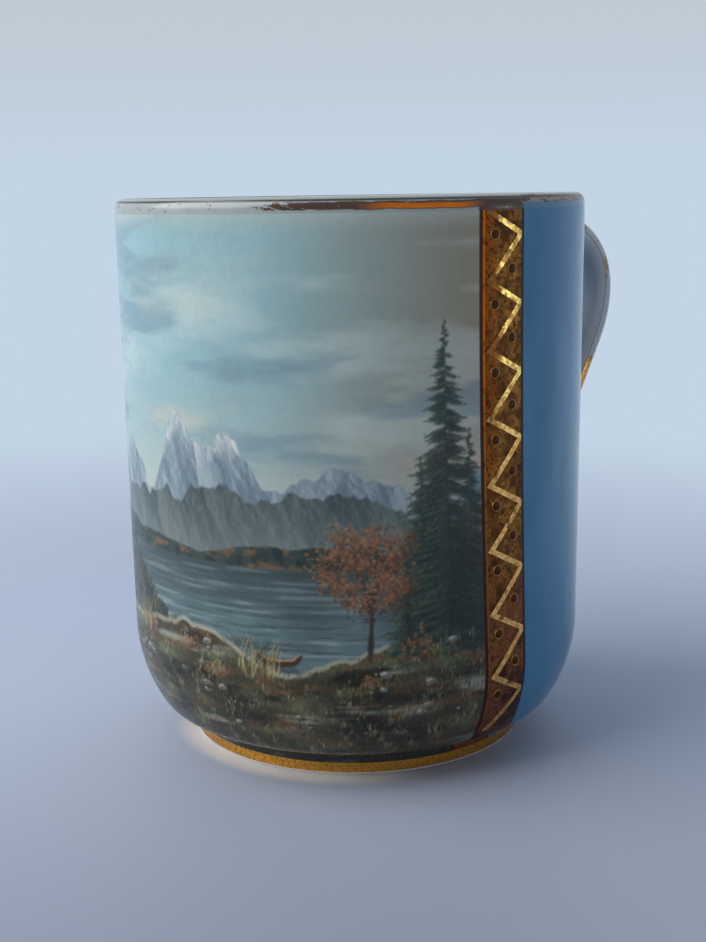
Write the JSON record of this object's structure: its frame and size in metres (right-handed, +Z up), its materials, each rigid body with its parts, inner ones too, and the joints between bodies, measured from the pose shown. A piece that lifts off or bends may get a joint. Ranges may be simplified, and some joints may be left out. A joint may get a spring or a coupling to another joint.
{
  "type": "mustache cup",
  "caption": "Straight-sided porcelain mug with a ledge inside the rim that keeps a moustache dry, an ear handle, a foot ring and painted, gilt decoration.",
  "frame": {"origin": "on the cup's axis, in the plane of the table that the foot ring stands on", "axes": "+Z up along the cup's axis, +X towards the handle, -Y towards the drinker, on the side of the lip guard"},
  "size_m": [0.106, 0.0808, 0.0941],
  "materials": {
    "porcelain": "clear glaze over white porcelain",
    "picture_enamel": "painted enamel, glossy",
    "blue_enamel": "even ground enamel, glossy",
    "band_lustre": "mottled brown-gold, satin",
    "red_enamel": "dark red enamel line, glossy",
    "gilding": "burnished gold, worn",
    "dot_enamel": "raised enamel dots, glossy"
  },
  "bodies": {
    "root": {"cup_body": "porcelain", "foot_ring": "porcelain", "lip_guard": "porcelain", "handle": "porcelain", "picture_panel": "picture_enamel", "blue_ground": "blue_enamel", "front_band_ground": "band_lustre", "rear_band_ground": "band_lustre", "front_band_lines": "red_enamel", "rear_band_lines": "red_enamel", "front_zigzag": "gilding", "rear_zigzag": "gilding", "front_dots": "dot_enamel", "rear_dots": "dot_enamel", "rim_gilding": "gilding", "foot_gilding": "gilding", "handle_gilding": "gilding", "guard_gilding": "gilding"}
  },
  "joints": []
}
